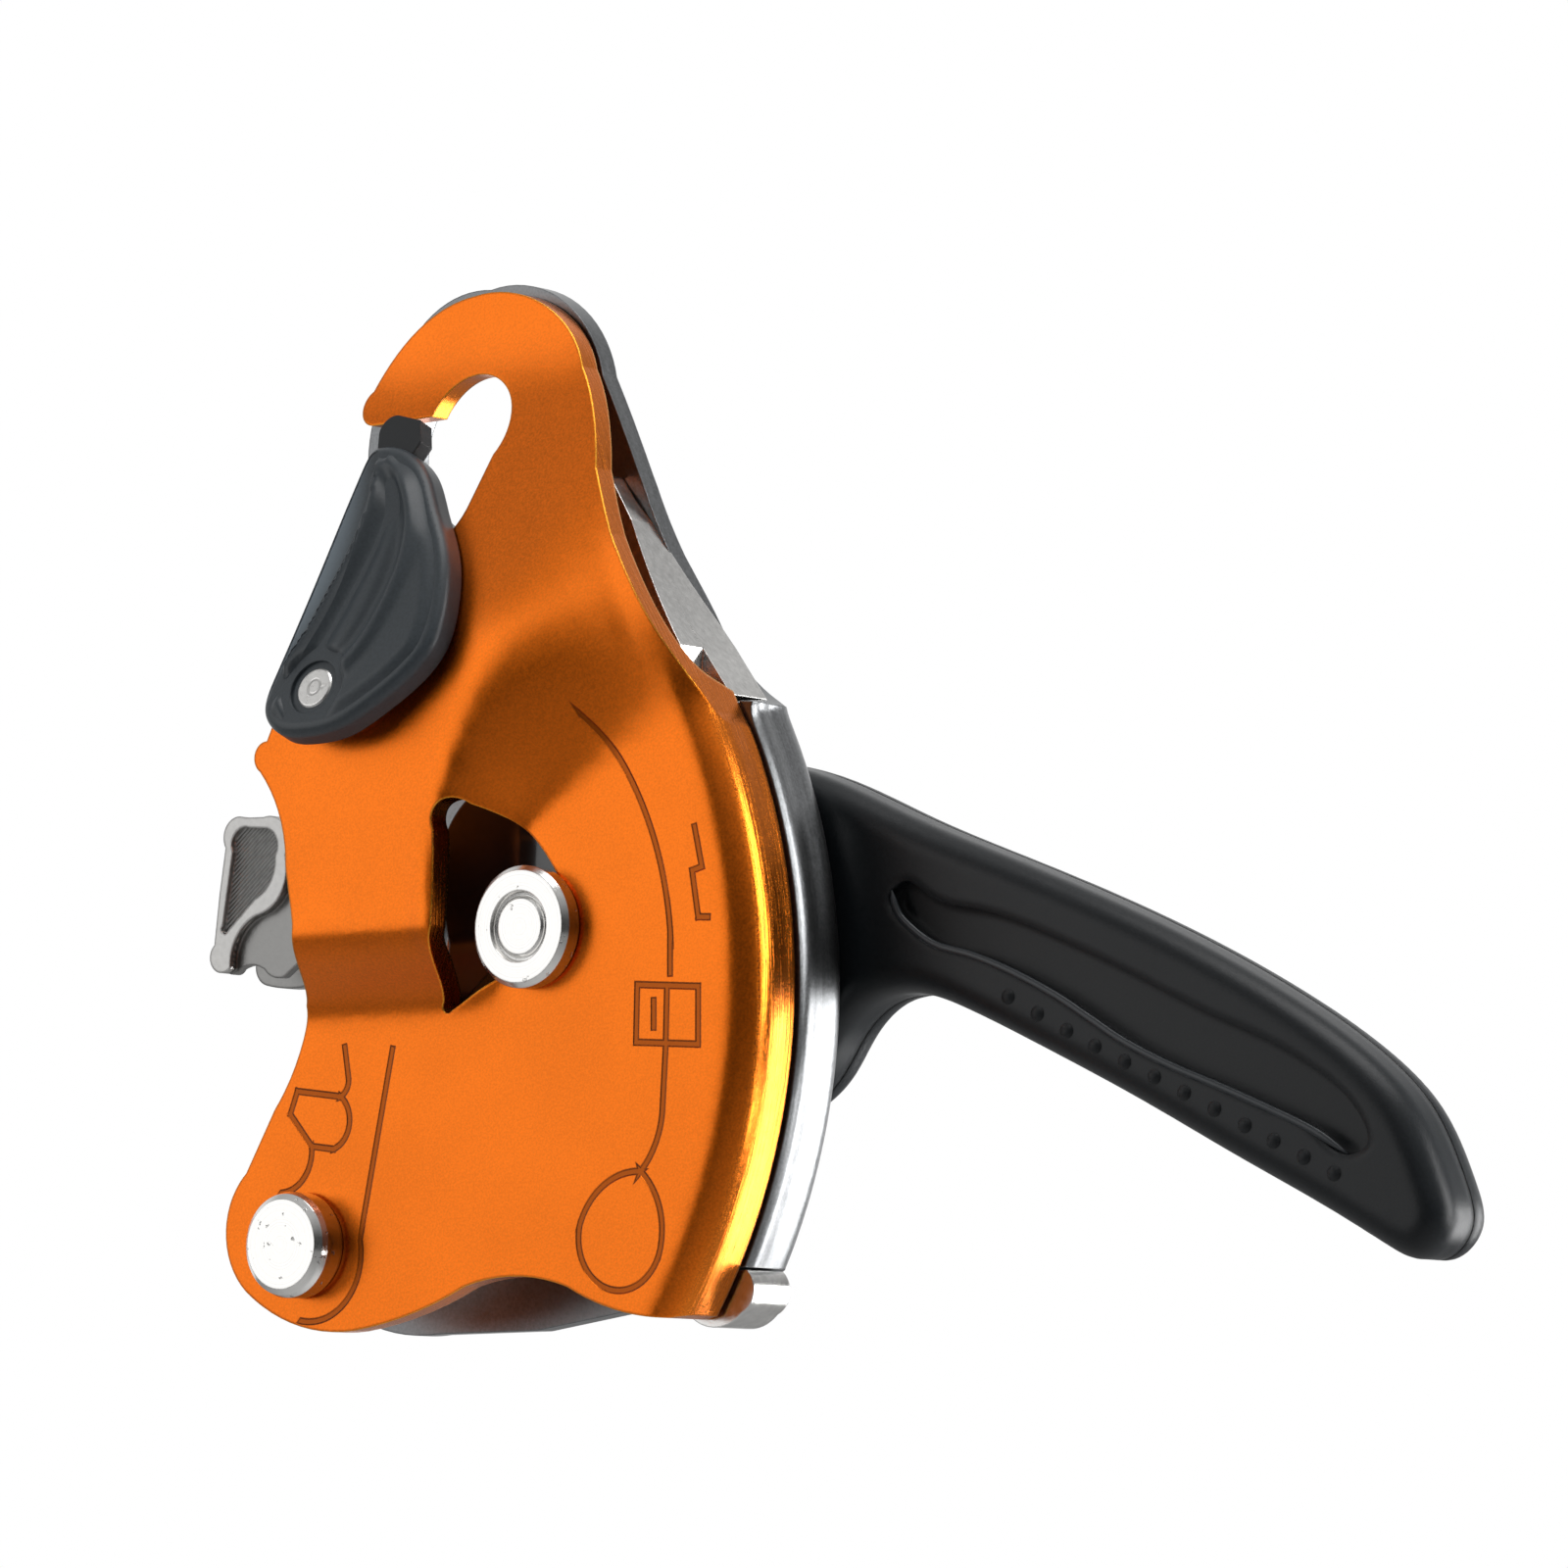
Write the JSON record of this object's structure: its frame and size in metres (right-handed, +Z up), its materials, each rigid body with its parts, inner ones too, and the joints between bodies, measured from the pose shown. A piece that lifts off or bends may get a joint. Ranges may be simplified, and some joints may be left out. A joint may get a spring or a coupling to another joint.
{
  "type": "rope descender",
  "caption": "Self-braking rope descender: hinged orange side plate with a gated hook eye, dark rear plate, steel rope shoe, locking cam, friction spur and black release lever.",
  "frame": {"origin": "axis of the rear plate's round eye, on that plate's inner face, which is the parting plane of the two side plates", "axes": "+X to the right seen from the swinging plate, +Y along the eye's axis towards the lever, +Z up towards the eye end"},
  "size_m": [0.1879, 0.0501, 0.1391],
  "materials": {
    "front_plate": "satin orange anodised",
    "rear_plate": "satin dark anodised",
    "central_axle": "polished",
    "axle_collar": "polished",
    "axle_cap": "polished",
    "pivot_pin": "worn satin",
    "pivot_washer": "satin",
    "rope_bollard": "satin",
    "rope_shoe": "bright satin",
    "friction_spur": "cast, tumbled",
    "gate_shell": "moulded satin",
    "gate_tongue": "moulded",
    "gate_spring": "wire",
    "gate_pin": "turned",
    "cam": "hard satin",
    "cam_cover": "gloss",
    "cam_dog": "ground",
    "lever_front": "moulded satin",
    "lever_back": "moulded satin",
    "lever_disc": "satin",
    "lever_washer": "satin",
    "shoe_rivet_1": "satin",
    "lever_screw_1": "blackened",
    "shoe_rivet_2": "satin",
    "lever_screw_2": "blackened",
    "shoe_rivet_3": "satin",
    "lever_screw_3": "blackened",
    "spur_screw_1": "satin",
    "spur_screw_2": "satin"
  },
  "bodies": {
    "frame": {"rear_plate": "rear_plate", "central_axle": "central_axle", "axle_collar": "axle_collar", "axle_cap": "axle_cap", "pivot_pin": "pivot_pin", "pivot_washer": "pivot_washer", "rope_bollard": "rope_bollard", "rope_shoe": "rope_shoe", "friction_spur": "friction_spur", "lever_washer": "lever_washer", "shoe_rivet_1": "shoe_rivet_1", "shoe_rivet_2": "shoe_rivet_2", "shoe_rivet_3": "shoe_rivet_3", "spur_screw_1": "spur_screw_1", "spur_screw_2": "spur_screw_2"},
    "swing_plate": {"front_plate": "front_plate", "gate_pin": "gate_pin"},
    "gate": {"gate_shell": "gate_shell", "gate_tongue": "gate_tongue", "gate_spring": "gate_spring"},
    "cam_body": {"cam": "cam", "cam_cover": "cam_cover", "cam_dog": "cam_dog"},
    "lever": {"lever_front": "lever_front", "lever_back": "lever_back", "lever_disc": "lever_disc", "lever_screw_1": "lever_screw_1", "lever_screw_2": "lever_screw_2", "lever_screw_3": "lever_screw_3"}
  },
  "joints": [
    {"name": "plate_swing", "type": "hinge", "parent": "frame", "child": "swing_plate", "pos_m": [-0.0198, 0, -0.1051], "axis": [0, 1, 0], "range_deg": [0, 70]},
    {"name": "gate_turn", "type": "hinge", "parent": "swing_plate", "child": "gate", "pos_m": [-0.008, -0.01944, -0.0342], "axis": [0, 0.9418, -0.3362], "range_deg": [0, 26], "stiffness_Nm_per_rad": 0.03, "springref_deg": -28.65},
    {"name": "cam_turn", "type": "hinge", "parent": "frame", "child": "cam_body", "pos_m": [0.0193, 0, -0.065], "axis": [0, -1, 0], "range_deg": [-15, 20]},
    {"name": "lever_turn", "type": "hinge", "parent": "cam_body", "child": "lever", "pos_m": [0.0193, 0.0155, -0.065], "axis": [0, -1, 0], "range_deg": [-45, 0]}
  ]
}
